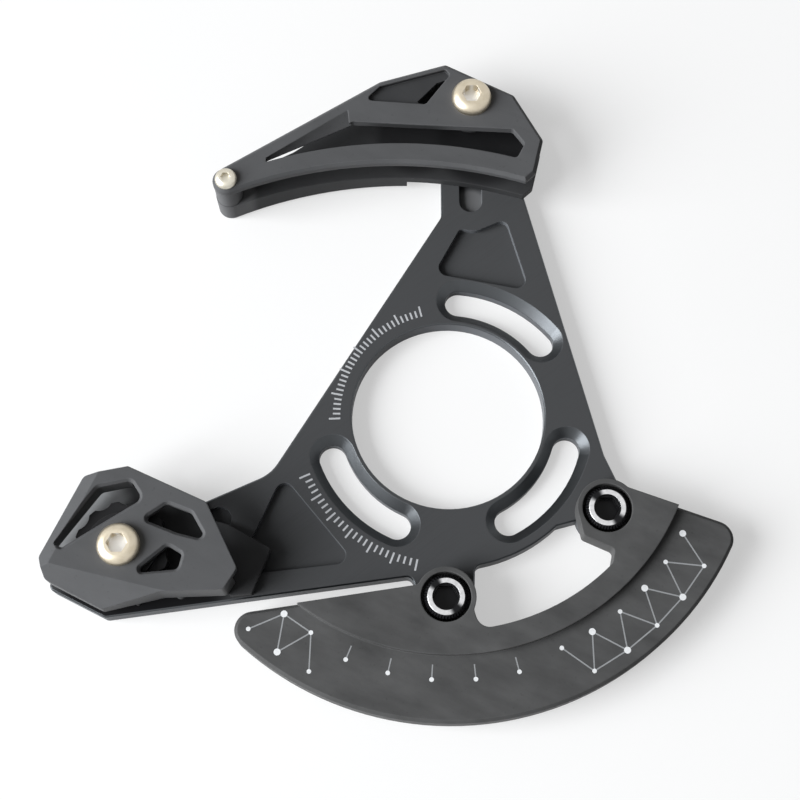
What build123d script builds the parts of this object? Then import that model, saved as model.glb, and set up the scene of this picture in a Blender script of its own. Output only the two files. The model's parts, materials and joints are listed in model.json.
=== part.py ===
from build123d import *
import os
from math import asin, atan2, cos, degrees, radians, sin, sqrt, tan

# Bicycle chain guide. The origin is the centre of the bottom bracket bore on the plate's back
# face. +Z points outboard, +Y up the top arm, +X towards the front of the bicycle.
os.makedirs("parts", exist_ok=True)

# Backplate
plate_thickness = 4.5
plate_edge_chamfer = 0.35
bore_radius = 22.0
bore_chamfer = 0.3
hub_radius = 35.3
pocket_depth = 1.5

# Mounting slots for M6 countersunk screws on the 56 mm pitch circle of the ISCG-05 tabs
mount_pitch_radius = 28.0
mount_slot_width = 6.2
mount_slot_half_span = 22.5
mount_slot_angles = (62.0, 223.0, 321.0)
countersink_width = 10.4
countersink_half_angle = 45.0

# Backplate outline: lower arm, left diagonal, top arm, right edge and the two guard lugs
lug_radius = 6.4
guard_bolt_left = (-1.0, -42.7)
guard_bolt_right = (34.7, -23.0)
arm_toe = (-75.6, -46.4)
arm_heel = (-88.4, -40.0)
arm_shoulder = (-86.0, -31.5)
arm_bend = (-57.0, -21.4)
arm_kink = (-40.1, -13.8)
neck_corner = (-1.1, 49.3)
right_edge_end = (35.2, -9.5)
lug_shoulder = (39.3, -18.8)
hub_arc_angles = (-47.1, -80.8)
hub_corner_radius = 1.6
wedge_end = (-8.2, -37.2)
top_arm_end_radius = 7.0
top_arm_end_wall = 1.3
arm_kink_radius = 9.0
neck_corner_radius = 3.0
arm_end_corner_radius = 1.5
shoulder_radius = 6.0
wedge_radius = 1.6

# Lightening pockets, as corner points with their radii
top_pocket = ((3.2, 46.1), (7.0, 45.5), (14.2, 48.7), (19.4, 30.4), (-3.0, 34.7))
top_pocket_radii = (1.2, 4.0, 1.8, 2.2, 2.2)
low_pocket = ((-37.4, -14.1), (-20.9, -34.1), (-47.7, -37.2))
low_pocket_radii = (2.2, 2.2, 2.2)

# Adjustment tracks: a through slot for the clamp bolt with a nut recess behind, and a groove for the
# guide's key. A track's angle is the way that the key points from the bolt.
upper_bolt = (5.9, 75.0)
upper_track_angle = -90.0
upper_travel_along = 11.5
upper_travel_back = 1.0
lower_bolt = (-71.5, -32.4)
lower_track_angle = 22.0
lower_travel_along = 11.5
lower_travel_back = 3.0
nut_recess_depth = 2.4
track_stop_gap = 0.3
slide_gap = 0.05
key_side_gap = 0.15
key_floor_gap = 0.3
key_depth = 1.2
key_length = 10.0

# Clamp bolts M5 with their nut plates
clamp_bolt_radius = 2.5
clamp_bolt_gap = 0.2
clamp_head_radius = 4.65
clamp_head_height = 2.5
clamp_rim_height = 0.7
clamp_hex = 4.0
clamp_hex_depth = 2.2
head_dome_share = 0.66
head_flat_share = 0.6
nut_width = 7.0
nut_length = 11.0
nut_thickness = 2.1
nut_side_gap = 0.25
thread_gap = 0.05

# Guides: the two side walls and the channel that the chain runs in
wall_thickness = 2.2
channel_width = 6.3
outer_thickness = 2.0
cheek_chamfer = 0.7

# Upper guide outline, shared by both cheeks
tip_centre = (-51.4, 53.9)
tip_radius = 3.2
cheek_ridge = (-15.7, 79.6)
cheek_peak = (-0.1, 84.2)
cheek_shoulder = (16.0, 76.0)
cheek_front = (22.6, 64.2)
cheek_chin = (20.6, 55.8)
cheek_heel = (18.3, 53.7)
cheek_arc_middle = (-13.9, 58.3)
cheek_tip_angle = -73.0
cheek_corner_radius = 1.2
inner_step_x = -9.3
inner_step_depth = 2.2
inner_tip_depth = 4.3
clamp_boss_radius = 4.7
tip_post_radius = 3.1
roof_wall = 2.0
roof_start = -19.0
roof_bottom = 70.5
inner_dip = (-36.5, 65.0)

# Upper guide window, recess and slit in the outer cheek
window_rail_left = (-42.2, 58.4)
window_rail_middle = (-13.5, 63.2)
window_rail_right = (16.4, 59.4)
window_front = (18.3, 63.2)
window_shoulder = (15.6, 66.9)
window_ridge = (-22.0, 68.9)
window_tail = (-42.2, 59.5)
window_corner_radius = 1.0
window_bevel_top = (-23.3, 71.9)
window_bevel_foot = (-22.6, 64.5)
recess_corners = ((-19.4, 74.5), (-15.7, 78.2), (-0.1, 82.7), (1.0, 81.2), (-5.0, 73.4))
recess_radius = 0.8
recess_depth = 1.1
slit_corners = ((-7.0, 74.5), (-4.7, 73.6), (0.5, 80.7), (-2.2, 79.6))
slit_radius = 0.3

# Tip screw M3 and its brass insert
tip_screw_radius = 1.45
tip_head_radius = 2.55
tip_head_height = 1.6
tip_rim_height = 0.4
tip_hex = 2.0
tip_hex_depth = 1.0
tip_screw_length = 7.5
insert_wall = 0.6
insert_length = 4.5

# Lower guide cover: outline with its fold line, openings and skirt
cover_corners = (
    (-70.4, -14.9), (-53.0, -22.9), (-45.9, -37.4), (-48.7, -42.0), (-62.2, -42.5),
    (-75.2, -45.6), (-87.4, -39.5), (-88.9, -34.7), (-80.3, -16.8),
)
cover_corner_radii = (0.8, 1.5, 1.2, 1.0, 2.0, 1.0, 1.5, 1.2, 1.5)
cover_fold_left = (-88.4, -35.9)
cover_fold_right = (-61.5, -42.3)
cover_fold_slope = 36.0
cover_bevel_width = 2.9
cover_bevel_slope = 30.0
cover_bevel_angle = -28.0
cutter_size = 100.0
cover_skirt_gap = 0.3
cover_skirt_wall = 1.8
cover_lip_drop = 3.6
cover_lip_wall = 1.6
cover_opening_chamfer = 0.6
cover_open_left = (-84.6, -35.3)
cover_open_right = (-40.0, -39.8)
cover_front_opening = ((-85.9, -32.0), (-76.8, -19.6), (-69.6, -18.1), (-66.9, -22.1), (-76.2, -28.0),
                       (-83.8, -32.9))
cover_front_radii = (0.5, 1.6, 1.2, 1.6, 2.0, 0.5)
cover_rear_opening = ((-66.6, -26.7), (-61.5, -23.2), (-56.2, -25.2), (-52.6, -31.3), (-59.0, -29.7))
cover_rear_radii = (0.8, 1.2, 1.5, 0.9, 2.0)
cover_low_opening = ((-68.2, -38.5), (-61.0, -32.4), (-57.8, -34.3), (-58.6, -37.6))
cover_low_radii = (0.7, 1.0, 1.0, 1.2)

# Feet of the cover on the arm, each with its place and radius
cover_feet = (((-59.0, -41.2), 1.2), ((-68.4, -43.2), 0.6), ((-84.2, -38.8), 1.2))

# Lower guide base under the cover, with its pointed tongue on the arm
base_corners = (
    (-70.6, -15.8), (-56.0, -21.3), (-54.0, -24.7), (-48.9, -26.1), (-39.5, -31.4), (-43.4, -41.5),
    (-48.0, -42.0), (-50.5, -38.6), (-62.0, -38.4), (-74.5, -41.0), (-89.3, -34.2), (-81.6, -17.3),
)
base_corner_radii = (1.2, 1.2, 1.0, 0.6, 0.6, 0.4, 0.8, 1.2, 2.0, 1.2, 1.2, 1.5)

# Pulley with its sealed bearing on a sleeve round the lower clamp bolt
pulley_teeth = 12
chain_pitch = 12.7
gaps_per_pitch = 2
tooth_gap_radius = 3.0
pulley_tip_radius = 10.5
pulley_running_gap = 0.4
pulley_tooth_width = 2.3
pulley_hub_radius = 7.8
pulley_hub_width = 5.2
pulley_tooth_angle = 101.0
bearing_bore_radius = 3.0
bearing_outer_radius = 6.5
bearing_width = 5.0
race_thickness = 1.1
ball_radius = 1.0
ball_count = 7
ball_gap = 0.03
shield_thickness = 0.3
shield_inset = 0.15
shield_gap = 0.1
spacer_radius = 4.0
seat_gap = 0.02
sleeve_bolt_gap = 0.1

# Bash guard with its raised flange
guard_radius = 69.5
guard_step_radius = 55.2
guard_window_radius = 50.0
guard_rim_inner_radius = 51.5
guard_flange_thickness = 5.5
guard_step_height = 1.8
guard_rim_drop = 2.5
guard_boss_radius = 6.6
guard_flare_share = 0.383
guard_flare_round_share = 0.22
guard_foot_round_share = 0.41
guard_foot_turn = 0.95
guard_lobe_angle = 200.0
guard_lobe_corner = (229.0, 8.2)
guard_window_far_angle = -45.0
guard_window_shoulder = (-41.8, 1.7)
guard_join_radius = 1.5
guard_shoulder_radius = 1.0
guard_left_edge = ((-60.0, -48.1), (-1.2, -39.2))
guard_right_edge = ((75.0, -31.1), (34.8, -16.7))
guard_corner_radius = 4.0
guard_window_corner_radius = 1.6
guard_edge_chamfer = 0.7

# Guard bolts M6 with low heads, on sleeves in the guard
guard_bolt_radius = 2.95
guard_head_radius = 4.8
guard_head_height = 4.0
guard_head_chamfer = 0.8
guard_hex = 5.0
guard_hex_depth = 3.0
guard_socket_radius = 3.0
guard_socket_depth = 1.0
guard_counterbore_gap = 0.7
guard_counterbore_depth = 3.7
guard_sleeve_gap = 0.15
guard_sleeve_wall = 0.9
guard_bolt_back_gap = 0.3

# Heights that follow from the stack
inner_bottom = plate_thickness + slide_gap
inner_top = inner_bottom + wall_thickness
outer_bottom = inner_top + channel_width
outer_top = outer_bottom + outer_thickness
channel_middle = (inner_top + outer_bottom) / 2
nut_top = nut_recess_depth - slide_gap
nut_bottom = nut_top - nut_thickness
skirt_bottom = inner_top + cover_skirt_gap
guard_top = plate_thickness + guard_flange_thickness
guard_band_top = guard_top - guard_step_height
guard_rim_bottom = plate_thickness - guard_rim_drop
counterbore_floor = guard_top - guard_counterbore_depth
past = 1.0


def along(place, angle, distance):
    """The point at a distance from a place, in a direction given in degrees."""
    return (place[0] + distance * cos(radians(angle)), place[1] + distance * sin(radians(angle)))


def heading(start, end):
    """The direction in degrees from one point to another."""
    return degrees(atan2(end[1] - start[1], end[0] - start[0]))


def slab(face, bottom, top):
    """A flat face carried up from one height to another."""
    return extrude(Plane.XY.offset(bottom) * face, amount=top - bottom, dir=(0, 0, 1))


def disc(place, radius):
    """A round face at a place."""
    return Pos(place[0], place[1]) * Circle(radius)


def rod(place, radius, bottom, top):
    """An upright cylinder between two heights."""
    return slab(disc(place, radius), bottom, top)


def tube(place, inner, outer, bottom, top):
    """An upright ring between two heights."""
    return slab(disc(place, outer) - disc(place, inner), bottom, top)


def rounded(corners, radii):
    """A face with straight sides and a radius at each corner."""
    return make_face(FilletPolyline(*corners, radius=radii, close=True))


def slotted(start, end, radius):
    """A face with two straight sides and two round ends, between two centres."""
    across = Rot(0, 0, heading(start, end))
    length = sqrt((end[0] - start[0]) ** 2 + (end[1] - start[1]) ** 2)
    middle = Pos((start[0] + end[0]) / 2, (start[1] + end[1]) / 2)
    return middle * across * SlotCenterToCenter(length, 2 * radius)


def soften(face, corners, radius):
    """A face with a radius at the vertices that are nearest to the given corners."""
    for corner in corners:
        vertex = face.vertices().sort_by_distance(Vector(corner[0], corner[1]))[0]
        face = fillet(vertex, radius)
    return face


def turned(place, profile):
    """A solid of revolution about the upright line through a place."""
    return Pos(place[0], place[1]) * revolve(Plane.XZ * profile, axis=Axis.Z)


def hex_socket(place, across_flats, bottom, top):
    """The room for a hexagon key."""
    face = Pos(place[0], place[1]) * RegularPolygon(across_flats / 2, 6, major_radius=False)
    return slab(face, bottom, top)


def button_bolt(place, seat, foot, shank, head, height, rim, hexagon, depth):
    """A domed bolt head on a seat, with its shank down to a foot and a hexagon socket."""
    flat = head * head_flat_share
    dome_middle = (flat + (head - flat) * head_dome_share, seat + rim + (height - rim) * head_dome_share)
    profile = make_face(
        Polyline((0, seat + height), (0, foot), (shank, foot), (shank, seat), (head, seat),
                 (head, seat + rim))
        + ThreePointArc((head, seat + rim), dome_middle, (flat, seat + height))
        + Line((flat, seat + height), (0, seat + height))
    )
    return turned(place, profile) - hex_socket(place, hexagon, seat + height - depth, seat + height + past)


def arc_slot(angle, width_top, width_bottom, bottom, top):
    """A slot on the mounting circle whose sides lean from one width to another."""
    low, high = width_bottom / 2, width_top / 2
    section = Polyline(
        (mount_pitch_radius - low, bottom), (mount_pitch_radius + low, bottom),
        (mount_pitch_radius + high, top), (mount_pitch_radius - high, top), close=True,
    )
    start = Rot(0, 0, angle - mount_slot_half_span)
    body = start * revolve(Plane.XZ * make_face(section), axis=Axis.Z,
                           revolution_arc=2 * mount_slot_half_span)
    half = Polyline((0, bottom), (low, bottom), (high, top), (0, top), close=True)
    for side in (-mount_slot_half_span, mount_slot_half_span):
        body += turned(along((0, 0), angle + side, mount_pitch_radius), make_face(half))
    return body


def plate_outline():
    """The backplate's outline with its two arms, hub and lugs."""
    recess_end = upper_bolt[1] + upper_travel_back + track_stop_gap + nut_length / 2 + nut_side_gap
    top_end = recess_end + top_arm_end_wall - top_arm_end_radius
    top_left = (upper_bolt[0] - top_arm_end_radius, top_end)
    top_right = (upper_bolt[0] + top_arm_end_radius, top_end)
    lug_left_side = (guard_bolt_left[0] - lug_radius, guard_bolt_left[1])
    lug_right_side = (guard_bolt_left[0] + lug_radius, guard_bolt_left[1])
    hub_right, hub_left = (along((0, 0), angle, hub_radius) for angle in hub_arc_angles)
    corners = {
        arm_toe: arm_end_corner_radius, arm_heel: arm_end_corner_radius, arm_shoulder: arm_end_corner_radius,
        arm_bend: arm_kink_radius, arm_kink: arm_kink_radius, neck_corner: neck_corner_radius,
        top_left: 0, top_right: 0, right_edge_end: shoulder_radius, lug_shoulder: 0, guard_bolt_right: 0,
        hub_right: 0, hub_left: 0, lug_right_side: 0, lug_left_side: 0, wedge_end: wedge_radius,
    }
    face = rounded(tuple(corners), tuple(corners.values()))
    sector = Polygon((0, 0), hub_left, (hub_right[0], hub_left[1]), hub_right, align=None)
    face += disc((0, 0), hub_radius) & sector
    face += disc((upper_bolt[0], top_end), top_arm_end_radius)
    face += disc(guard_bolt_left, lug_radius)
    face += disc(guard_bolt_right, lug_radius)
    return soften(face, (hub_left,), hub_corner_radius)


def track_cuts(bolt, angle, travel_along, travel_back):
    """The slot, key groove and nut recess of one adjustment track in the backplate."""
    near = along(bolt, angle, -travel_back - track_stop_gap)
    far = along(bolt, angle, travel_along + track_stop_gap)
    nut_reach = (nut_length - nut_width) / 2
    slot_radius = clamp_bolt_radius + clamp_bolt_gap
    slot = slotted(near, far, slot_radius)
    groove = slotted(near, along(far, angle, key_length), slot_radius)
    recess = slotted(along(near, angle, -nut_reach), along(far, angle, nut_reach),
                     nut_width / 2 + nut_side_gap)
    cuts = slab(slot, -past, plate_thickness + past) + slab(recess, -past, nut_recess_depth)
    return cuts + slab(groove, plate_thickness - key_depth - key_floor_gap, plate_thickness + past)


def make_backplate():
    """The aluminium backplate with bore, mounting slots, pockets, tracks and tapped lugs."""
    body = slab(plate_outline(), 0, plate_thickness)
    rim = body.faces().sort_by(Axis.Z)[-1].outer_wire().edges()
    body = chamfer(rim, plate_edge_chamfer)
    body -= rod((0, 0), bore_radius, -past, plate_thickness + past)
    mouth = body.edges().filter_by(GeomType.CIRCLE).sort_by(Axis.Z)[-1]
    body = chamfer(mouth, bore_chamfer)
    countersink_depth = (countersink_width - mount_slot_width) / 2 / tan(radians(countersink_half_angle))
    for angle in mount_slot_angles:
        body -= arc_slot(angle, mount_slot_width, mount_slot_width, -past, plate_thickness + past)
        body -= arc_slot(angle, countersink_width, mount_slot_width, plate_thickness - countersink_depth,
                         plate_thickness)
    for corners, radii in ((top_pocket, top_pocket_radii), (low_pocket, low_pocket_radii)):
        body -= slab(rounded(corners, radii), plate_thickness - pocket_depth, plate_thickness + past)
    body -= track_cuts(upper_bolt, upper_track_angle, upper_travel_along, upper_travel_back)
    body -= track_cuts(lower_bolt, lower_track_angle, lower_travel_along, lower_travel_back)
    for place in (guard_bolt_left, guard_bolt_right):
        body -= rod(place, guard_bolt_radius + thread_gap, -past, plate_thickness + past)
    return body


def first_crossing(start, end, centre, radius):
    """The point where a line from start to end first meets a circle."""
    run = (end[0] - start[0], end[1] - start[1])
    gap = (start[0] - centre[0], start[1] - centre[1])
    square = run[0] ** 2 + run[1] ** 2
    half = run[0] * gap[0] + run[1] * gap[1]
    rest = gap[0] ** 2 + gap[1] ** 2 - radius ** 2
    share = (-half - sqrt(half ** 2 - square * rest)) / square
    return (start[0] + share * run[0], start[1] + share * run[1])


def arc_round(centre, radius, start_angle, end_angle):
    """An arc about a centre from one direction to another."""
    angles = (start_angle, (start_angle + end_angle) / 2, end_angle)
    return ThreePointArc(*(along(centre, angle, radius) for angle in angles))


def guard_face():
    """The bash guard's outline: two lobes on the bolts, the window between them and the round rim."""
    bore = (0, 0)
    left_tip = first_crossing(*guard_left_edge, bore, guard_radius)
    left_join = first_crossing(*guard_left_edge, guard_bolt_left, guard_boss_radius)
    right_tip = first_crossing(*guard_right_edge, bore, guard_radius)
    right_join = first_crossing(*guard_right_edge, guard_bolt_right, guard_boss_radius)
    window_depth = guard_window_radius - sqrt(guard_bolt_left[0] ** 2 + guard_bolt_left[1] ** 2)
    flare_angle = -degrees(asin(guard_flare_share * window_depth / guard_boss_radius))
    flare = along(guard_bolt_left, flare_angle, guard_boss_radius)
    foot_angle = heading(bore, flare) + guard_foot_turn
    foot = along(bore, foot_angle, guard_window_radius)
    far = along(bore, guard_window_far_angle, guard_window_radius)
    shoulder = along(bore, guard_window_shoulder[0], guard_window_radius - guard_window_shoulder[1])
    lobe_corner = along(guard_bolt_right, *guard_lobe_corner)
    lobe_side = along(guard_bolt_right, guard_lobe_angle, guard_boss_radius)
    face = make_face(
        Line(left_tip, left_join)
        + arc_round(guard_bolt_left, guard_boss_radius, heading(guard_bolt_left, left_join), flare_angle)
        + Line(flare, foot)
        + arc_round(bore, guard_window_radius, foot_angle, guard_window_far_angle)
        + Polyline(far, shoulder, lobe_corner, lobe_side)
        + arc_round(guard_bolt_right, guard_boss_radius, guard_lobe_angle,
                    heading(guard_bolt_right, right_join))
        + Line(right_join, right_tip)
        + arc_round(bore, guard_radius, heading(bore, right_tip), heading(bore, left_tip))
    )
    face = soften(face, (left_tip, right_tip), guard_corner_radius)
    face = soften(face, (left_join, right_join), guard_join_radius)
    face = soften(face, (shoulder, lobe_corner, lobe_side), guard_shoulder_radius)
    face = soften(face, (foot,), guard_foot_round_share * window_depth)
    face = soften(face, (flare,), guard_flare_round_share * window_depth)
    return soften(face, (far,), guard_window_corner_radius)


def make_bash_guard():
    """The moulded guard: a raised flange on the lugs and a thicker outer band."""
    face = guard_face()
    step = face & Circle(guard_step_radius)
    band = face - Circle(guard_rim_inner_radius)
    body = slab(face, plate_thickness, guard_band_top)
    body += slab(band, guard_rim_bottom, plate_thickness)
    body = chamfer(body.faces().sort_by(Axis.Z)[-1].outer_wire().edges(), guard_edge_chamfer)
    body += slab(step, plate_thickness + past, guard_top)
    for place in (guard_bolt_left, guard_bolt_right):
        body -= rod(place, guard_bolt_radius + guard_sleeve_gap + guard_sleeve_wall + seat_gap,
                    plate_thickness - past, guard_top)
        body -= rod(place, guard_head_radius + guard_counterbore_gap, counterbore_floor, guard_top + past)
    return body


def make_guard_bolts():
    """The two low-head bolts that hold the guard."""
    top = counterbore_floor + guard_head_height
    bolts = []
    for place in (guard_bolt_left, guard_bolt_right):
        head = rod(place, guard_head_radius, counterbore_floor, top)
        head = chamfer(head.edges().sort_by(Axis.Z)[-1], guard_head_chamfer)
        bolt = head + rod(place, guard_bolt_radius, guard_bolt_back_gap, counterbore_floor)
        bolt -= rod(place, guard_socket_radius, top - guard_socket_depth, top + past)
        bolts.append(bolt - hex_socket(place, guard_hex, top - guard_hex_depth, top))
    return Compound(children=bolts)


def make_guard_sleeves():
    """The two sleeves that take the guard bolts' clamping force."""
    inner = guard_bolt_radius + guard_sleeve_gap
    rings = [tube(place, inner, inner + guard_sleeve_wall, plate_thickness, counterbore_floor)
             for place in (guard_bolt_left, guard_bolt_right)]
    return Compound(children=rings)


def cheek_tip_top():
    """The point where the cheeks' upper edge leaves the round tip."""
    return along(tip_centre, heading(tip_centre, cheek_ridge) + 90.0, tip_radius)


def cheek_outline():
    """The outline that both cheeks of the upper guide share."""
    start = cheek_tip_top()
    end = along(tip_centre, cheek_tip_angle, tip_radius)
    nose = along(tip_centre, (heading(tip_centre, start) + cheek_tip_angle + 360.0) / 2, tip_radius)
    ridge = FilletPolyline(start, cheek_ridge, cheek_peak, cheek_shoulder, cheek_front, cheek_chin,
                           cheek_heel, radius=cheek_corner_radius)
    return make_face(
        ridge + ThreePointArc(cheek_heel, cheek_arc_middle, end) + ThreePointArc(end, nose, start)
    )


def cheek_window():
    """The long window above the rail of the outer cheek."""
    rail = ThreePointArc(window_rail_left, window_rail_middle, window_rail_right)
    rest = Polyline(window_rail_right, window_front, window_shoulder, window_ridge, window_tail,
                    window_rail_left)
    face = make_face(rail + rest)
    corners = (window_rail_right, window_front, window_shoulder, window_ridge)
    return soften(face, corners, window_corner_radius)


def make_upper_outer_cheek():
    """The outer cheek with its window, recess, slit, roof and the boss round the clamp bolt."""
    outline = cheek_outline()
    body = slab(outline, outer_bottom, outer_top)
    body = chamfer(body.faces().sort_by(Axis.Z)[-1].outer_wire().edges(), cheek_chamfer)
    bevel_low = Polygon(window_tail, window_bevel_foot, window_ridge, align=None)
    bevel_high = Polygon(window_tail, window_bevel_foot, window_bevel_top, align=None)
    body -= loft([Plane.XY.offset(outer_bottom) * bevel_low, Plane.XY.offset(outer_top) * bevel_high],
                 ruled=True)
    body -= slab(cheek_window(), outer_bottom - past, outer_top + past)
    roof_side = Polygon((roof_start, roof_bottom), (cheek_front[0], roof_bottom),
                        (cheek_front[0], cheek_peak[1]), (roof_start, cheek_peak[1]), align=None)
    roof = (outline - offset(outline, -roof_wall, kind=Kind.INTERSECTION)) & roof_side
    body += slab(roof, inner_top, outer_bottom)
    body -= slab(rounded(recess_corners, (recess_radius,) * len(recess_corners)), outer_top - recess_depth,
                 outer_top + past)
    body -= slab(rounded(slit_corners, (slit_radius,) * len(slit_corners)), outer_bottom - past, outer_top)
    body += rod(upper_bolt, clamp_boss_radius, inner_top, outer_bottom)
    body -= rod(upper_bolt, clamp_bolt_radius + clamp_bolt_gap, inner_top - past, outer_top + past)
    body -= rod(tip_centre, tip_screw_radius + clamp_bolt_gap, outer_bottom - past, outer_top + past)
    return body


def make_upper_inner_cheek():
    """The inner cheek with its lower upper edge, key, rear part that deepens to the tip, and tip post."""
    outline = cheek_outline() - Polygon(cheek_tip_top(), inner_dip, cheek_ridge, align=None)
    body = slab(outline, inner_bottom, inner_top)
    rear_side = Polygon(
        (inner_step_x, 0), (inner_step_x, cheek_peak[1] + past),
        (tip_centre[0] - tip_radius - past, cheek_peak[1] + past), (tip_centre[0] - tip_radius - past, 0),
        align=None,
    )
    rear_bottom = inner_bottom - inner_tip_depth
    rear = slab(outline & rear_side, rear_bottom, inner_bottom)
    taper = Polygon((tip_centre[0] - tip_radius, rear_bottom), (inner_step_x, rear_bottom),
                    (inner_step_x, inner_bottom - inner_step_depth), align=None)
    body += rear - extrude(Plane.XZ * taper, amount=cheek_peak[1] + past, both=True)
    key_radius = clamp_bolt_radius + clamp_bolt_gap - key_side_gap
    key = slotted(upper_bolt, along(upper_bolt, upper_track_angle, key_length), key_radius)
    body += slab(key, plate_thickness - key_depth, inner_bottom)
    body += rod(tip_centre, tip_post_radius, inner_top, outer_bottom)
    body -= rod(tip_centre, tip_screw_radius + thread_gap + insert_wall + seat_gap,
                outer_bottom - insert_length, outer_bottom + past)
    body -= rod(tip_centre, tip_screw_radius + thread_gap, outer_top - tip_screw_length, outer_bottom)
    body -= rod(upper_bolt, clamp_bolt_radius + clamp_bolt_gap, 0, inner_top + past)
    return body


def make_clamp_bolt(place):
    """An M5 button bolt through a guide and into its nut plate."""
    return button_bolt(place, outer_top, nut_bottom, clamp_bolt_radius, clamp_head_radius, clamp_head_height,
                       clamp_rim_height, clamp_hex, clamp_hex_depth)


def make_nut_plate(place, angle):
    """A nut plate with round ends that slides in the recess behind an arm."""
    reach = (nut_length - nut_width) / 2
    face = slotted(along(place, angle, -reach), along(place, angle, reach), nut_width / 2)
    return slab(face - disc(place, clamp_bolt_radius + thread_gap), nut_bottom, nut_top)


def make_tip_screw():
    """The small button screw at the upper guide's tip."""
    return button_bolt(tip_centre, outer_top, outer_top - tip_screw_length + seat_gap, tip_screw_radius,
                       tip_head_radius, tip_head_height, tip_rim_height, tip_hex, tip_hex_depth)


def make_tip_insert():
    """The brass insert that the tip screw threads into."""
    inner = tip_screw_radius + thread_gap
    return tube(tip_centre, inner, inner + insert_wall, outer_bottom - insert_length, outer_bottom)


def lean_cutter(start, end, slope, drop):
    """The half space outside a leaning face that meets the cover's top along a line.

    The outside lies to the right of the line from start to end. The face is moved inwards by drop.
    """
    course = heading(start, end)
    place = along(start, course + 90.0, drop * sin(radians(slope)))
    block = Box(cutter_size, cutter_size, cutter_size, align=(Align.CENTER, Align.MAX, Align.MIN))
    turn = Rot(0, 0, course) * Rot(slope, 0, 0)
    return Pos(place[0], place[1], outer_top - drop * cos(radians(slope))) * turn * block


def make_lower_cover():
    """The cover with its folded lower side, bevelled left edge, openings, skirt, lip and feet."""
    outline = rounded(cover_corners, cover_corner_radii)
    body = slab(outline, skirt_bottom, outer_top)
    for corners, radii in ((cover_rear_opening, cover_rear_radii), (cover_low_opening, cover_low_radii)):
        body -= slab(rounded(corners, radii), skirt_bottom - past, outer_top + past)
    top = body.faces().sort_by(Axis.Z)[-1]
    body = chamfer(top.outer_wire().edges(), cheek_chamfer)
    rims = [edge for wire in top.inner_wires() for edge in wire.edges()]
    body = chamfer(rims, cover_opening_chamfer)
    fold = (cover_fold_left, cover_fold_right, cover_fold_slope)
    bevel = (along(cover_corners[-1], cover_bevel_angle, cover_bevel_width),
             along(cover_corners[-2], cover_bevel_angle, cover_bevel_width), cover_bevel_slope)
    body -= lean_cutter(*fold, 0)
    body -= lean_cutter(*bevel, 0)
    inside = offset(outline, -cover_skirt_wall, kind=Kind.INTERSECTION)
    beyond = cover_open_left[0] - cutter_size
    open_side = Polygon(cover_open_left, cover_open_right, (cover_open_right[0], 0), (beyond, 0),
                        (beyond, cover_open_left[1]), align=None)
    cavity = slab(inside + open_side, skirt_bottom - past, outer_bottom)
    lip_side = Polygon(cover_corners[0], cover_front_opening[2], cover_front_opening[0], cover_corners[-2],
                       cover_corners[-1], align=None)
    front = rounded(cover_front_opening, cover_front_radii)
    lip = offset(front, cover_lip_wall, kind=Kind.INTERSECTION) & lip_side
    cavity -= slab(lip, outer_bottom - cover_lip_drop, outer_bottom)
    body -= cavity - lean_cutter(*fold, outer_thickness)
    for place, radius in cover_feet:
        body += rod(place, radius, inner_bottom, skirt_bottom + past)
    body -= rod(lower_bolt, pulley_tip_radius + pulley_running_gap, skirt_bottom - past,
                channel_middle + pulley_tooth_width / 2 + pulley_running_gap)
    body -= rod(lower_bolt, pulley_hub_radius + pulley_running_gap, skirt_bottom - past, outer_bottom)
    body -= slab(front, skirt_bottom - past, outer_top + past)
    body -= extrude(Plane.XY.offset(outer_top - cover_opening_chamfer) * front, amount=cover_opening_chamfer,
                    dir=(0, 0, 1), taper=-countersink_half_angle)
    return body - rod(lower_bolt, clamp_bolt_radius + clamp_bolt_gap, outer_bottom - past, outer_top + past)


def make_lower_base():
    """The base on the arm with its tongue and key."""
    body = slab(rounded(base_corners, base_corner_radii), inner_bottom, inner_top)
    key_radius = clamp_bolt_radius + clamp_bolt_gap - key_side_gap
    key = slotted(lower_bolt, along(lower_bolt, lower_track_angle, key_length), key_radius)
    body += slab(key, plate_thickness - key_depth, inner_bottom)
    return body - rod(lower_bolt, clamp_bolt_radius + clamp_bolt_gap, 0, inner_top + past)


def make_pulley():
    """The toothed pulley: two tooth gaps to a pitch of the chain, on a wider hub."""
    pitch_radius = chain_pitch / 2 / sin(radians(180.0 * gaps_per_pitch / pulley_teeth))
    tooth_bottom = channel_middle - pulley_tooth_width / 2
    tooth_top = channel_middle + pulley_tooth_width / 2
    teeth = rod(lower_bolt, pulley_tip_radius, tooth_bottom, tooth_top)
    for tooth in range(pulley_teeth):
        angle = pulley_tooth_angle + (tooth + 0.5) * 360.0 / pulley_teeth
        teeth -= rod(along(lower_bolt, angle, pitch_radius), tooth_gap_radius, tooth_bottom, tooth_top)
    hub = rod(lower_bolt, pulley_hub_radius, channel_middle - pulley_hub_width / 2,
              channel_middle + pulley_hub_width / 2)
    body = teeth + hub
    return body - rod(lower_bolt, bearing_outer_radius + seat_gap, inner_top, outer_bottom)


def ball_path_radius():
    """The radius of the circle that the bearing's balls lie on."""
    return (bearing_bore_radius + bearing_outer_radius) / 2


def ball_groove():
    """The ring of room that the balls run in."""
    ring = Torus(ball_path_radius(), ball_radius + ball_gap)
    return Pos(lower_bolt[0], lower_bolt[1], channel_middle) * ring


def make_race(inner, outer):
    """A bearing race between two radii, with its ball groove."""
    half = bearing_width / 2
    return tube(lower_bolt, inner, outer, channel_middle - half, channel_middle + half) - ball_groove()


def make_balls():
    """The bearing's balls, evenly spaced."""
    balls = []
    for number in range(ball_count):
        place = along(lower_bolt, number * 360.0 / ball_count, ball_path_radius())
        balls.append(Pos(place[0], place[1], channel_middle) * Sphere(ball_radius))
    return Compound(children=balls)


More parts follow.
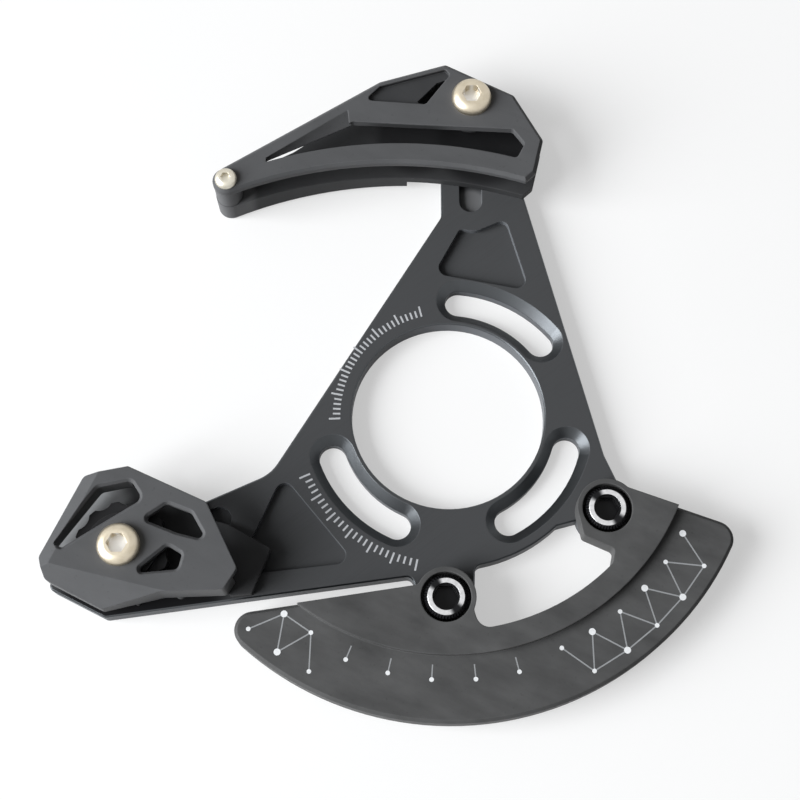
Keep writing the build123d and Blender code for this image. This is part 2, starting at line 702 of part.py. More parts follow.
def make_shields():
    """The two thin shields that close the bearing's sides."""
    inner = bearing_bore_radius + race_thickness + shield_gap
    outer = bearing_outer_radius - race_thickness - seat_gap
    half = bearing_width / 2 - shield_inset
    low = tube(lower_bolt, inner, outer, channel_middle - half, channel_middle - half + shield_thickness)
    high = tube(lower_bolt, inner, outer, channel_middle + half - shield_thickness, channel_middle + half)
    return Compound(children=[low, high])


def make_spacers():
    """The two washers between the bearing and the guide's walls."""
    inner = bearing_bore_radius + seat_gap
    half = bearing_width / 2
    low = tube(lower_bolt, inner, spacer_radius, inner_top, channel_middle - half)
    high = tube(lower_bolt, inner, spacer_radius, channel_middle + half, outer_bottom)
    return Compound(children=[low, high])


def make_sleeve():
    """The sleeve round the lower clamp bolt that carries the bearing."""
    return tube(lower_bolt, clamp_bolt_radius + sleeve_bolt_gap, bearing_bore_radius - seat_gap, inner_top,
                outer_bottom)


nodes = {
    "backplate": make_backplate(),
    "bash_guard": make_bash_guard(),
    "guard_bolts": make_guard_bolts(),
    "guard_sleeves": make_guard_sleeves(),
    "upper_outer_cheek": make_upper_outer_cheek(),
    "upper_inner_cheek": make_upper_inner_cheek(),
    "upper_clamp_bolt": make_clamp_bolt(upper_bolt),
    "upper_nut_plate": make_nut_plate(upper_bolt, upper_track_angle),
    "tip_screw": make_tip_screw(),
    "tip_insert": make_tip_insert(),
    "lower_cover": make_lower_cover(),
    "lower_base": make_lower_base(),
    "lower_clamp_bolt": make_clamp_bolt(lower_bolt),
    "lower_nut_plate": make_nut_plate(lower_bolt, lower_track_angle),
    "pulley": make_pulley(),
    "bearing_outer_race": make_race(bearing_outer_radius - race_thickness, bearing_outer_radius),
    "bearing_inner_race": make_race(bearing_bore_radius, bearing_bore_radius + race_thickness),
    "bearing_balls": make_balls(),
    "bearing_shields": make_shields(),
    "bearing_spacers": make_spacers(),
    "axle_sleeve": make_sleeve(),
}

for name, shape in nodes.items():
    export_step(shape, f"parts/{name}.step")
    print(name, len(shape.solids()), round(shape.volume, 1))
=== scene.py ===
"""Looks of a bicycle chain guide.

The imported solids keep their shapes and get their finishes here: anodised plate, moulded nylon,
plated bolts. Printed and etched marks are thin raised pieces. The frame is the bore's centre on
the plate's back face, +Z outboard, in metres.
"""

from __future__ import annotations

import json
import logging
import math
from dataclasses import dataclass, field
from enum import Enum
from typing import Any, Optional, Protocol, Sequence, Union

import bpy
import numpy as np
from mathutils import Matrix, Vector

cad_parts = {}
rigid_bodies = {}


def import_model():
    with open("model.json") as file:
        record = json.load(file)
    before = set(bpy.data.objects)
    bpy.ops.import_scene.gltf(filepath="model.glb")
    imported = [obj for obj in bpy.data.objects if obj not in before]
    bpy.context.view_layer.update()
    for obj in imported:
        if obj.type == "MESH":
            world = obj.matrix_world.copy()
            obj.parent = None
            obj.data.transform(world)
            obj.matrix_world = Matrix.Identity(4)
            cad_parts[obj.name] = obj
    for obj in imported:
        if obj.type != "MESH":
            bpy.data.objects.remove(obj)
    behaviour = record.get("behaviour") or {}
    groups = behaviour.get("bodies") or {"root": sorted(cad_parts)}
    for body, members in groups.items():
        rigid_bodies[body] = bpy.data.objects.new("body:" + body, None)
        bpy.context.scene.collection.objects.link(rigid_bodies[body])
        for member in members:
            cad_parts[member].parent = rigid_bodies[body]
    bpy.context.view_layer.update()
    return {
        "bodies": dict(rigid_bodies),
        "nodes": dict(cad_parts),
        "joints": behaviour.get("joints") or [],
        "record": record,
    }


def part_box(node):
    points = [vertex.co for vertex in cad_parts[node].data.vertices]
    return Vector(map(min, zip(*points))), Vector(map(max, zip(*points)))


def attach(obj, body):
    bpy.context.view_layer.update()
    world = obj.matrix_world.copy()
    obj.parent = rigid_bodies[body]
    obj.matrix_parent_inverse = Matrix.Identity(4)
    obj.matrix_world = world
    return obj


LOG = logging.getLogger("chain_guide")
MM = 0.001

Colour = tuple[float, float, float]
Point = tuple[float, float]
Place = tuple[float, float, float]
Number = Union[float, "Value"]
BLACK: Colour = (0.0, 0.0, 0.0)
WHITE: Colour = (1.0, 1.0, 1.0)
ALUMINIUM: Colour = (0.72, 0.72, 0.74)
ALUMINIUM_DULL: Colour = (0.50, 0.50, 0.52)
FRAME_BODY = "frame"


class Ray(Enum):
    """The kinds of ray that show the studio itself, while the others only carry its light."""

    CAMERA = "Is Camera Ray"
    GLOSSY = "Is Glossy Ray"
    TRANSMISSION = "Is Transmission Ray"


class Rim(Enum):
    """The circle of a printed band that holds its first and last joints."""

    INNER = "inner"
    OUTER = "outer"


class Value:
    """A number in a node tree. Arithmetic on it adds Math nodes."""

    def __init__(self, graph: "Graph", socket: bpy.types.NodeSocket) -> None:
        """Wrap one output socket of a graph."""
        self.graph = graph
        self.socket = socket

    def _math(self, operation: str, *operands: Number) -> "Value":
        """Add one Math node.

        Args:
            operation: Blender's name of the operation.
            operands: numbers or values, in socket order.

        Returns:
            The node's result.
        """
        made = self.graph.node("ShaderNodeMath", {"operation": operation}, dict(enumerate(operands)))
        return Value(self.graph, made.outputs[0])

    def __add__(self, other: Number) -> "Value":
        """Sum."""
        return self._math("ADD", self, other)

    def __radd__(self, other: Number) -> "Value":
        """Sum with a plain number first."""
        return self._math("ADD", other, self)

    def __sub__(self, other: Number) -> "Value":
        """Difference."""
        return self._math("SUBTRACT", self, other)

    def __rsub__(self, other: Number) -> "Value":
        """Difference with a plain number first."""
        return self._math("SUBTRACT", other, self)

    def __mul__(self, other: Number) -> "Value":
        """Product."""
        return self._math("MULTIPLY", self, other)

    def __rmul__(self, other: Number) -> "Value":
        """Product with a plain number first."""
        return self._math("MULTIPLY", other, self)

    def sine(self) -> "Value":
        """Sine of an angle in radians."""
        return self._math("SINE", self)

    def root(self) -> "Value":
        """Square root."""
        return self._math("SQRT", self)

    def size(self) -> "Value":
        """The value without its sign."""
        return self._math("ABSOLUTE", self)

    def larger(self, other: Number) -> "Value":
        """The larger of two values."""
        return self._math("MAXIMUM", self, other)

    def bearing(self, across: "Value") -> "Value":
        """The direction in radians of a point with this height and a distance across."""
        return self._math("ARCTAN2", self, across)

    def step(self, low: float, high: float) -> "Value":
        """A smooth rise from 0 at low to 1 at high.

        Args:
            low: where the rise starts.
            high: where it ends; below low for a fall.

        Returns:
            The share, from 0 to 1.
        """
        made = self.graph.node(
            "ShaderNodeMapRange",
            {"interpolation_type": "SMOOTHSTEP"},
            {"Value": self, "From Min": low, "From Max": high, "To Min": 0.0, "To Max": 1.0},
        )
        return Value(self.graph, made.outputs[0])


class Graph:
    """The node tree of one material or world."""

    NOISE_ROUGHNESS = 0.55
    BEVEL_SAMPLES = 6
    EDGE_DOTS: Point = (0.995, 0.86)
    LEVEL_RISE: Point = (0.97, 0.80)
    UPRIGHT_RISE: Point = (0.30, 0.50)

    def __init__(self, owner: Union[bpy.types.Material, bpy.types.World]) -> None:
        """Start an empty tree with its output node.

        Args:
            owner: the material or world.
        """
        owner.use_nodes = True
        self.owner = owner
        self.tree = owner.node_tree
        self.tree.nodes.clear()
        world = isinstance(owner, bpy.types.World)
        self.output = self.node("ShaderNodeOutputWorld" if world else "ShaderNodeOutputMaterial")

    def node(
        self,
        kind: str,
        settings: Optional[dict[str, Any]] = None,
        sockets: Optional[dict[Union[str, int], Any]] = None,
    ) -> bpy.types.Node:
        """Add a node, with its settings first and then its sockets.

        Args:
            kind: the node's Blender type.
            settings: attributes of the node.
            sockets: plain values, Values or output sockets for its inputs.

        Returns:
            The new node.
        """
        made = self.tree.nodes.new(kind)
        for name, setting in (settings or {}).items():
            setattr(made, name, setting)
        for key, content in (sockets or {}).items():
            self.feed(made.inputs[key], content)
        return made

    def feed(self, socket: bpy.types.NodeSocket, content: Any) -> None:
        """Link or set one input socket.

        Args:
            socket: the input.
            content: a Value, an output socket, a colour or a plain value.
        """
        if isinstance(content, Value):
            self.tree.links.new(content.socket, socket)
        elif isinstance(content, bpy.types.NodeSocket):
            self.tree.links.new(content, socket)
        elif socket.type == "RGBA":
            socket.default_value = (*content, 1.0)
        else:
            socket.default_value = content

    def place(self) -> bpy.types.NodeSocket:
        """The point on the piece, in metres in the shared frame."""
        return self.node("ShaderNodeTexCoord").outputs["Object"]

    def parts(self, vector: bpy.types.NodeSocket) -> tuple[Value, Value, Value]:
        """Take a vector apart.

        Args:
            vector: the vector's socket.

        Returns:
            Its parts along X, Y and Z.
        """
        made = self.node("ShaderNodeSeparateXYZ", {}, {0: vector})
        across, along, up = (Value(self, socket) for socket in made.outputs)
        return across, along, up

    def streaks(self, turn: float, length: float, width: float) -> bpy.types.NodeSocket:
        """The point on the piece for streaked noise.

        Args:
            turn: the streaks' direction in degrees from +X.
            length: the streaks' length in metres.
            width: the streaks' width in metres.

        Returns:
            A vector whose unit is one streak.
        """
        turned = self.node(
            "ShaderNodeVectorRotate",
            {"rotation_type": "Z_AXIS"},
            {"Vector": self.place(), "Angle": math.radians(-turn)},
        ).outputs[0]
        stretch = (1.0 / length, 1.0 / width, 1.0 / length)
        scaled = self.node("ShaderNodeVectorMath", {"operation": "MULTIPLY"}, {0: turned, 1: stretch})
        return scaled.outputs[0]

    def about(self, axes: Sequence[Point]) -> tuple[Value, Value, Value]:
        """Distance from the nearest upright axis, direction about it and height.

        Args:
            axes: one axis, or two from left to right.

        Returns:
            Distance and height in metres, with the direction in radians between them.
        """
        across, along, up = self.parts(self.place())
        (first_x, first_y), (last_x, last_y) = axes[0], axes[-1]
        middle = 0.5 * (first_x + last_x)
        side = across.step(middle - MM, middle + MM)
        near_x = across - (first_x + side * (last_x - first_x))
        near_y = along - (first_y + side * (last_y - first_y))
        return (near_x * near_x + near_y * near_y).root(), near_y.bearing(near_x), up

    def noise(
        self,
        grain: float,
        detail: float = 2.0,
        vector: Optional[bpy.types.NodeSocket] = None,
    ) -> Value:
        """Even noise about 0.5.

        Args:
            grain: the size of its features in metres, or 1 for a vector that is already stretched.
            detail: octaves of finer noise.
            vector: the place to read, the piece's own point if left out.

        Returns:
            The noise as a value.
        """
        made = self.node("ShaderNodeTexNoise", {}, {
            "Vector": vector or self.place(),
            "Scale": 1.0 / grain,
            "Detail": detail,
            "Roughness": self.NOISE_ROUGHNESS,
        })
        return Value(self, made.outputs[0])

    def blend(self, share: Number, first: Any, second: Any) -> bpy.types.NodeSocket:
        """A mix of two colours.

        Args:
            share: 0 for the first, 1 for the second.
            first: a colour or a colour socket.
            second: a colour or a colour socket.

        Returns:
            The mixed colour's socket.
        """
        made = self.node("ShaderNodeMix", {"data_type": "RGBA"}, {0: share, 6: first, 7: second})
        return made.outputs[2]

    def mix(self, share: Number, first: bpy.types.Node, second: bpy.types.Node) -> bpy.types.Node:
        """A mix of two shaders.

        Args:
            share: 0 for the first, 1 for the second.
            first: a shader node.
            second: a shader node.

        Returns:
            The mixing node.
        """
        return self.node("ShaderNodeMixShader", {}, {0: share, 1: first.outputs[0], 2: second.outputs[0]})

    def softened(self, radius: float) -> bpy.types.NodeSocket:
        """The normal of a piece whose edges are rounded over a radius."""
        return self.node("ShaderNodeBevel", {"samples": self.BEVEL_SAMPLES}, {"Radius": radius}).outputs[0]

    def edges(self, radius: float) -> Value:
        """How near a point is to an edge, by how far the softened normal turns from the face's own.

        Args:
            radius: how far from the edge the softening starts, in metres.

        Returns:
            0 on a flat, up to 1 on a sharp corner.
        """
        normals = {0: self.softened(radius), 1: self.node("ShaderNodeNewGeometry").outputs["Normal"]}
        dot = self.node("ShaderNodeVectorMath", {"operation": "DOT_PRODUCT"}, normals)
        return Value(self, dot.outputs["Value"]).step(*self.EDGE_DOTS)

    def rise(self) -> Value:
        """The upright part of a face's normal: 1 on a level face, 0 on an upright one."""
        normal = self.node("ShaderNodeNewGeometry").outputs["Normal"]
        return self.parts(normal)[2].size()

    def walls(self) -> Value:
        """How far a face leans: 0 on a level face, 1 on a steep one."""
        return self.rise().step(*self.LEVEL_RISE)

    def slopes(self) -> Value:
        """How far a face is a slope: 0 on a level or an upright face, 1 halfway between."""
        return self.walls() * self.rise().step(*self.UPRIGHT_RISE)

    def bump(self, height: Value, depth: float, rounding: float) -> bpy.types.NodeSocket:
        """A bumped normal on softly rounded edges.

        Args:
            height: the relief, about 0 to 1.
            depth: the relief's depth in metres.
            rounding: the radius of the edges in metres.

        Returns:
            The normal's socket.
        """
        return self.node(
            "ShaderNodeBump",
            {},
            {"Strength": 1.0, "Distance": depth, "Height": height, "Normal": self.softened(rounding)},
        ).outputs[0]

    def seen(self) -> Value:
        """Tell the rays that show the studio itself from those that only carry its light.

        Returns:
            1 for the first kind, 0 for the second.
        """
        path = self.node("ShaderNodeLightPath")
        camera, glossy, through = (Value(self, path.outputs[ray.value]) for ray in Ray)
        return camera.larger(glossy).larger(through)

    def close(self, shader: bpy.types.Node) -> Any:
        """Link a shader to the output.

        Args:
            shader: the last shader node.

        Returns:
            The finished material or world.
        """
        self.tree.links.new(shader.outputs[0], self.output.inputs[0])
        return self.owner


class Finish(Protocol):
    """A surface that can be made into a material."""

    name: str

    def material(self) -> bpy.types.Material:
        """The finish as a material."""


def principled(graph: Graph, sockets: dict[str, Any]) -> bpy.types.Material:
    """Close a material's tree with a Principled shader.

    Args:
        graph: the material's tree.
        sockets: contents of the shader's inputs.

    Returns:
        The finished material.
    """
    return graph.close(graph.node("ShaderNodeBsdfPrincipled", {}, sockets))


@dataclass(frozen=True)
class Patch:
    """A round patch of another tone, paler or darker: rubbed paler by use, or painted light or painted
    shade.
    """

    centre: Point
    reach: float
    colour: Colour
    below: float = 1.0
    core: float = 0.7
    fade: float = 0.2 * MM

    def share(self, graph: Graph) -> Value:
        """How far the patch covers a point: full in its core, fading to its reach, below its height.

        Args:
            graph: the tree of the piece's material.

        Returns:
            The share, from 0 to 1.
        """
        reach, _, height = graph.about((self.centre,))
        level = height.step(self.below, self.below - self.fade)
        return reach.step(self.reach, self.core * self.reach) * level


@dataclass(frozen=True)
class AnodisedFinish:
    """Satin anodising over machined aluminium: streaked faces, paler walls, polished countersinks."""

    name: str
    patches: tuple[Patch, ...] = ()
    colour: Colour = (0.069, 0.0705, 0.073)
    cut: Colour = (0.145, 0.153, 0.165)
    polished: Colour = (0.078, 0.083, 0.088)
    roughness: float = 0.34
    polish: float = 0.06
    shine: float = 0.97
    gloss: float = 0.04
    tone: float = 0.78
    streak_tone: float = 0.26
    cloud_tone: float = 0.18
    wall_share: float = 0.75
    edge_share: float = 0.20
    streak_turn: float = 38.0
    streak_length: float = 9.0 * MM
    streak_width: float = 0.22 * MM
    cloud_size: float = 22.0 * MM
    blast_grain: float = 0.28 * MM
    blast_depth: float = 0.012 * MM
    edge_radius: float = 0.25 * MM

    def material(self) -> bpy.types.Material:
        """Build the finish's node tree.

        Returns:
            The finished material.
        """
        graph = Graph(bpy.data.materials.new(self.name))
        streaks = graph.streaks(self.streak_turn, self.streak_length, self.streak_width)
        streak = graph.noise(1.0, 3.0, streaks)
        cloud = graph.noise(self.cloud_size, 3.0)
        blast = graph.noise(self.blast_grain)
        edge = graph.edges(self.edge_radius)
        cut = graph.walls()
        slope = graph.slopes()
        tone = self.tone + self.streak_tone * streak + self.cloud_tone * cloud
        plain = graph.blend(tone, BLACK, self.colour)
        for patch in self.patches:
            plain = graph.blend(patch.share(graph), plain, patch.colour)
        bright = (self.wall_share * cut).larger(edge * (self.edge_share + 0.3 * cloud))
        machined = graph.blend(bright, plain, self.cut)
        return principled(graph, {
            "Base Color": graph.blend(slope, machined, self.polished),
            "Roughness": self.roughness + 0.10 * streak + 0.06 * cloud - self.polish * cut,
            "Metallic": self.shine * slope,
            "Specular IOR Level": self.gloss,
            "Normal": graph.bump(blast + 0.5 * streak, self.blast_depth, self.edge_radius),
        })


@dataclass(frozen=True)
class MouldedFinish:
    """Moulded nylon with a fine eroded grain, cloudy flow marks and paler handled edges."""

    name: str
    colour: Colour
    rubbed: Colour
    roughness: float
    gloss: float = 0.08
    mottle: float = 0.16
    patches: tuple[Patch, ...] = ()
    grain: float = 0.20 * MM
    grain_depth: float = 0.02 * MM
    flow_turn: float = -24.0
    flow_length: float = 11.0 * MM
    flow_width: float = 4.0 * MM
    flow_share: float = 1.6
    cloud_size: float = 14.0 * MM
    cloud_share: float = 1.4
    fleck_size: float = 0.9 * MM
    fleck_range: Point = (0.64, 0.74)
    fleck_tone: float = 0.12
    headroom: float = 0.7
    edge_share: float = 0.25
    edge_radius: float = 0.35 * MM

    def material(self) -> bpy.types.Material:
        """Build the finish's node tree.

        Returns:
            The finished material.
        """
        graph = Graph(bpy.data.materials.new(self.name))
        grain = graph.noise(self.grain)
        flow = graph.noise(1.0, 4.0, graph.streaks(self.flow_turn, self.flow_length, self.flow_width))
        cloud = graph.noise(self.cloud_size, 4.0)
        fleck = graph.noise(self.fleck_size).step(*self.fleck_range)
        edge = graph.edges(self.edge_radius)
        mottle = self.mottle * (self.flow_share * (flow - 0.5) + self.cloud_share * (cloud - 0.5))
        tone = 1.0 + mottle - self.fleck_tone * fleck
        brightest = tuple(part / self.headroom for part in self.colour)
        plain = graph.blend(self.headroom * tone, BLACK, brightest)
        for patch in self.patches:
            plain = graph.blend(patch.share(graph) * (0.8 + 0.4 * (flow - 0.5)), plain, patch.colour)
        return principled(graph, {
            "Base Color": graph.blend(edge * (self.edge_share + 0.5 * cloud), plain, self.rubbed),
            "Roughness": self.roughness + 0.16 * (cloud - 0.5) + 0.06 * (grain - 0.5) - 0.06 * edge,
            "Metallic": 0.0,
            "Specular IOR Level": self.gloss,
            "Normal": graph.bump(grain, self.grain_depth, self.edge_radius),
        })


@dataclass(frozen=True)
class TurnedFinish:
    """Plated steel or bare metal that was turned on a lathe, with rings about its axis."""

    name: str
    colour: Colour
    dull: Colour
    axes: tuple[Point, ...]
    roughness: float = 0.38
    socket: float = 0.0
    socket_colour: Colour = (0.74, 0.72, 0.68)
    blur: float = 0.12 * MM
    ring_pitch: float = 0.12 * MM
    ring_depth: float = 0.004 * MM
    cloud_size: float = 1.6 * MM
    cloud_range: Point = (0.40, 0.70)
    speck_size: float = 0.25 * MM
    edge_radius: float = 0.12 * MM

    def material(self) -> bpy.types.Material:
        """Build the finish's node tree.

        Returns:
            The finished material.
        """
        graph = Graph(bpy.data.materials.new(self.name))
        reach, _, _ = graph.about(self.axes)
        rings = (reach * (2.0 * math.pi / self.ring_pitch)).sine()
        cloud = graph.noise(self.cloud_size, 4.0)
        speck = graph.noise(self.speck_size)
        edge = graph.edges(self.edge_radius)
        tarnish = 0.6 * cloud.step(*self.cloud_range) + 0.3 * speck
        plated = graph.blend(tarnish * (1.0 - edge), self.colour, self.dull)
        inside = reach.step(self.socket, self.socket - self.blur)
        return principled(graph, {
            "Base Color": graph.blend(inside, plated, self.socket_colour),
            "Roughness": self.roughness + 0.10 * cloud + 0.05 * rings - 0.06 * edge,
            "Metallic": 1.0,
            "Normal": graph.bump(0.5 * rings + speck, self.ring_depth, self.edge_radius),
        })


@dataclass(frozen=True)
class BlackBoltFinish:
    """Black plated bolts with a bare ring on the head, painted brightest on two sides as a highlight, and
    a knurled side.
    """

    name: str
    axes: tuple[Point, ...]
    ring_inner: float
    ring_outer: float
    face: float
    plating: Colour = (0.008, 0.008, 0.009)
    bare: Colour = (0.72, 0.72, 0.73)
    glint_turn: float = 40.0
    glint_range: Point = (-0.95, -0.55)
    glint_shine: float = 0.9
    roughness: float = 0.30
    gloss: float = 0.12
    knurls: int = 44
    knurl_depth: float = 0.12 * MM
    cloud_size: float = 0.8 * MM
    edge_radius: float = 0.12 * MM
    blur: float = 0.10 * MM

    def material(self) -> bpy.types.Material:
        """Build the finish's node tree.

        Returns:
            The finished material.
        """
        graph = Graph(bpy.data.materials.new(self.name))
        reach, turn, height = graph.about(self.axes)
        level = height.step(self.face - self.blur, self.face - 0.3 * self.blur)
        ring = level * reach.step(self.ring_outer + self.blur, self.ring_outer)
        ring = ring * reach.step(self.ring_inner - self.blur, self.ring_inner)
        # Painted highlight: two opposite lobes of the bare ring are brightened and made metallic, where a
        # reflection would fall.
        twice = 2.0 * turn + math.radians(90.0 - 2.0 * self.glint_turn)
        glint = twice.sine().step(*self.glint_range)
        side = reach.step(self.ring_outer, self.ring_outer + self.blur)
        knurl = (turn * float(self.knurls)).sine() * side
        cloud = graph.noise(self.cloud_size, 3.0)
        return principled(graph, {
            "Base Color": graph.blend(ring * glint * (0.60 + 0.6 * cloud), self.plating, self.bare),
            "Roughness": self.roughness + 0.12 * (cloud - 0.5) + 0.06 * ring,
            "Metallic": self.glint_shine * ring * glint,
            "Specular IOR Level": self.gloss,
            "Normal": graph.bump(knurl, self.knurl_depth, self.edge_radius),
        })


@dataclass(frozen=True)
class InkFinish:
    """Pale pad-printed ink or a laser etch, thin enough for the ground to speckle it."""

    name: str
    colour: Colour
    ground: Colour
    cover: float
    speckle: float = 0.30
    speck_size: float = 0.30 * MM
    cloud_size: float = 6.0 * MM
    roughness: float = 0.55

    def material(self) -> bpy.types.Material:
        """Build the finish's node tree.

        Returns:
            The finished material.
        """
        graph = Graph(bpy.data.materials.new(self.name))
        speck = graph.noise(self.speck_size, 3.0)
        cloud = graph.noise(self.cloud_size)
        share = self.cover + self.speckle * (speck - 0.5) + self.speckle * (cloud - 0.5)
        return principled(graph, {
            "Base Color": graph.blend(share, self.ground, self.colour),
            "Roughness": self.roughness + 0.12 * (speck - 0.5),
            "Metallic": 0.0,
        })


@dataclass(frozen=True)
class TableFinish:
    """A white matt table top with a faint grain, shown paler than it lights the guide."""

    name: str
    colour: Colour = (0.985, 0.98, 0.975)
    shade: Colour = (0.955, 0.95, 0.94)
    bounce: Colour = (0.34, 0.34, 0.34)
    lift: float = 0.50
    cloud_size: float = 90.0 * MM
    cloud_share: float = 0.7
    grain: float = 2.2 * MM
    roughness: float = 0.9
    gloss: float = 0.2

    def material(self) -> bpy.types.Material:
        """Build the finish's node tree.

        Returns:
            The finished material.
        """
        graph = Graph(bpy.data.materials.new(self.name))
        cloud = graph.noise(self.cloud_size, 3.0)
        grain = graph.noise(self.grain, 3.0)
        seen = graph.seen()
        paler = self.cloud_share * cloud + (1.0 - self.cloud_share) * grain
        shown = graph.blend(paler, self.shade, self.colour)
        matt = graph.node("ShaderNodeBsdfPrincipled", {}, {
            "Base Color": graph.blend(seen, self.bounce, shown),
            "Roughness": self.roughness + 0.05 * (grain - 0.5),
            "Specular IOR Level": self.gloss,
        })
        glow = graph.node("ShaderNodeEmission", {}, {"Color": WHITE, "Strength": 1.0})
        return graph.close(graph.mix(self.lift * seen, matt, glow))


class Marks:
    """Thin raised marks, as upright prisms worked out together."""

    @staticmethod
    def prisms(name: str, outlines: np.ndarray, bottom: float, top: float) -> bpy.types.Object:
        """Closed prisms over flat outlines.

        Each outline is carried straight up from the bottom height to the top height.

        Args:
            name: the piece's name.
            outlines: corner points, shaped (prisms, corners, 2), anticlockwise, in metres.
            bottom: the lower height in metres.
            top: the upper height in metres.

        Returns:
            The new piece.
        """
        count, sides, _ = outlines.shape
        points = np.empty((count, 2, sides, 3))
        points[..., :2] = outlines[:, None, :, :]
        points[..., 2] = np.array([bottom, top])[None, :, None]
        first = (np.arange(count) * 2 * sides)[:, None]
        low = first + np.arange(sides)
        high = low + sides
        walls = np.stack([low, np.roll(low, -1, 1), np.roll(high, -1, 1), high], axis=2)
        faces = walls.reshape(-1, 4).tolist() + high.tolist() + low[:, ::-1].tolist()
        mesh = bpy.data.meshes.new(name)
        mesh.from_pydata(points.reshape(-1, 3).tolist(), [], faces)
        piece = bpy.data.objects.new(name, mesh)
        bpy.context.scene.collection.objects.link(piece)
        return piece

    @staticmethod
    def strokes(starts: np.ndarray, ends: np.ndarray, width: float) -> np.ndarray:
        """Outlines of straight strokes: each end moved half a width to both sides.

        Args:
            starts: first points, shaped (strokes, 2).
            ends: last points, shaped (strokes, 2).
            width: the strokes' width.

        Returns:
            Outlines shaped (strokes, 4, 2), anticlockwise.
        """
        run = ends - starts
        run = run / np.linalg.norm(run, axis=1, keepdims=True)
        side = np.stack([run[:, 1], -run[:, 0]], axis=1) * (width / 2)
        return np.stack([starts + side, ends + side, ends - side, starts - side], axis=1)

    @staticmethod
    def dots(centres: np.ndarray, radii: np.ndarray, sides: int = 24) -> np.ndarray:
        """Outlines of round dots: a circle of the dot's radius about its centre.

        Args:
            centres: centres, shaped (dots, 2).
            radii: radii, shaped (dots,).
            sides: corners of each circle.

        Returns:
            Outlines shaped (dots, sides, 2), anticlockwise.
        """
        turn = np.arange(sides) * 2.0 * np.pi / sides
        circle = np.stack([np.cos(turn), np.sin(turn)], axis=1)
        return centres[:, None, :] + radii[:, None, None] * circle[None, :, :]

    @staticmethod
    def polar(radius: Union[float, np.ndarray], degrees: np.ndarray) -> np.ndarray:
        """Points from radii and directions about the bore's axis."""
        turn = np.radians(degrees)
        return np.stack([radius * np.cos(turn), radius * np.sin(turn)], axis=-1)


def coat(frame: dict[str, Any], nodes: Sequence[str], finish: Finish) -> None:
    """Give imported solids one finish.

    Args:
        frame: the loaded frame.
        nodes: the solids' names.
        finish: the finish that they share.
    """
    material = finish.material()
    for node in nodes:
        mesh = frame["nodes"][node].data
        mesh.materials.clear()
        mesh.materials.append(material)
        LOG.info("%s: %s", node, finish.name)


def place_mark(piece: bpy.types.Object, body: str, material: bpy.types.Material) -> None:
    """Put a mark on its body and give it its material.

    Args:
        piece: the mark.
        body: the body that it rides on.
        material: the ink or etch.
    """
    piece.data.materials.append(material)
    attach(piece, body)
    LOG.info("%s: %s on %s", piece.name, material.name, body)


def axis_of(node: str) -> Point:
    """The upright axis of a round solid, through the middle of its box."""
    low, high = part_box(node)
    return (0.5 * (low.x + high.x), 0.5 * (low.y + high.y))


@dataclass(frozen=True)
class EtchedScale:
    """One run of short radial strokes, with a longer one at regular places."""

    name: str
    first: float
    last: float
    pitch: float
    inner: float
    short: float = 1.7 * MM
    long: float = 2.6 * MM
    every: int = 5
    width: float = 0.42 * MM

    def build(self, face: float, rise: float) -> bpy.types.Object:
        """Make the strokes, each a prism from the inner radius outwards.

        Args:
            face: the height of the face that they lie on.
            rise: how far they stand proud.

        Returns:
            The piece.
        """
        degrees = np.arange(self.first, self.last + self.pitch / 2, self.pitch)
        number = np.arange(len(degrees))
        length = np.where(number % self.every == 0, self.long, self.short)
        starts = Marks.polar(self.inner, degrees)
        ends = Marks.polar(self.inner + length, degrees)
        return Marks.prisms(self.name, Marks.strokes(starts, ends, self.width), face - rise, face + rise)


@dataclass(frozen=True)
class TrussPrint:
    """A printed band of triangles between two circles, with a dot at each joint."""

    name: str
    first: float
    last: float
    bays: int
    ends: Rim = Rim.INNER
    inner: float = 58.6 * MM
    outer: float = 66.0 * MM
    line_width: float = 0.30 * MM
    small_dot: float = 0.50 * MM
    large_dot: float = 0.75 * MM

    def joints(self) -> tuple[np.ndarray, np.ndarray]:
        """Space the joints evenly on both circles, those on one circle half a bay on from the other's.

        Returns:
            The joints on the circle that holds the ends, and those on the other.
        """
        edges = np.linspace(self.first, self.last, self.bays + 1)
        near, far = (self.inner, self.outer) if self.ends is Rim.INNER else (self.outer, self.inner)
        return Marks.polar(near, edges), Marks.polar(far, (edges[:-1] + edges[1:]) / 2)

    def build_lines(self, face: float, rise: float) -> bpy.types.Object:
        """Make the lines: each joint between two end joints, to both of them and to the next like it.

        Args:
            face: the height of the face that they lie on.
            rise: how far they stand proud.

        Returns:
            The piece.
        """
        near, far = self.joints()
        starts = np.concatenate([near[:-1], far, far[:-1]])
        ends = np.concatenate([far, near[1:], far[1:]])
        strokes = Marks.strokes(starts, ends, self.line_width)
        return Marks.prisms(self.name + "_lines", strokes, face - rise, face + rise)

    def build_dots(self, face: float, rise: float) -> bpy.types.Object:
        """Make the dots, every second one larger.

        Args:
            face: the height of the face that they lie on.
            rise: how far they stand proud.

        Returns:
            The piece.
        """
        joints = np.concatenate(self.joints())
        radii = np.where(np.arange(len(joints)) % 2 == 0, self.small_dot, self.large_dot)
        return Marks.prisms(self.name + "_dots", Marks.dots(joints, radii), face - rise, face + rise)


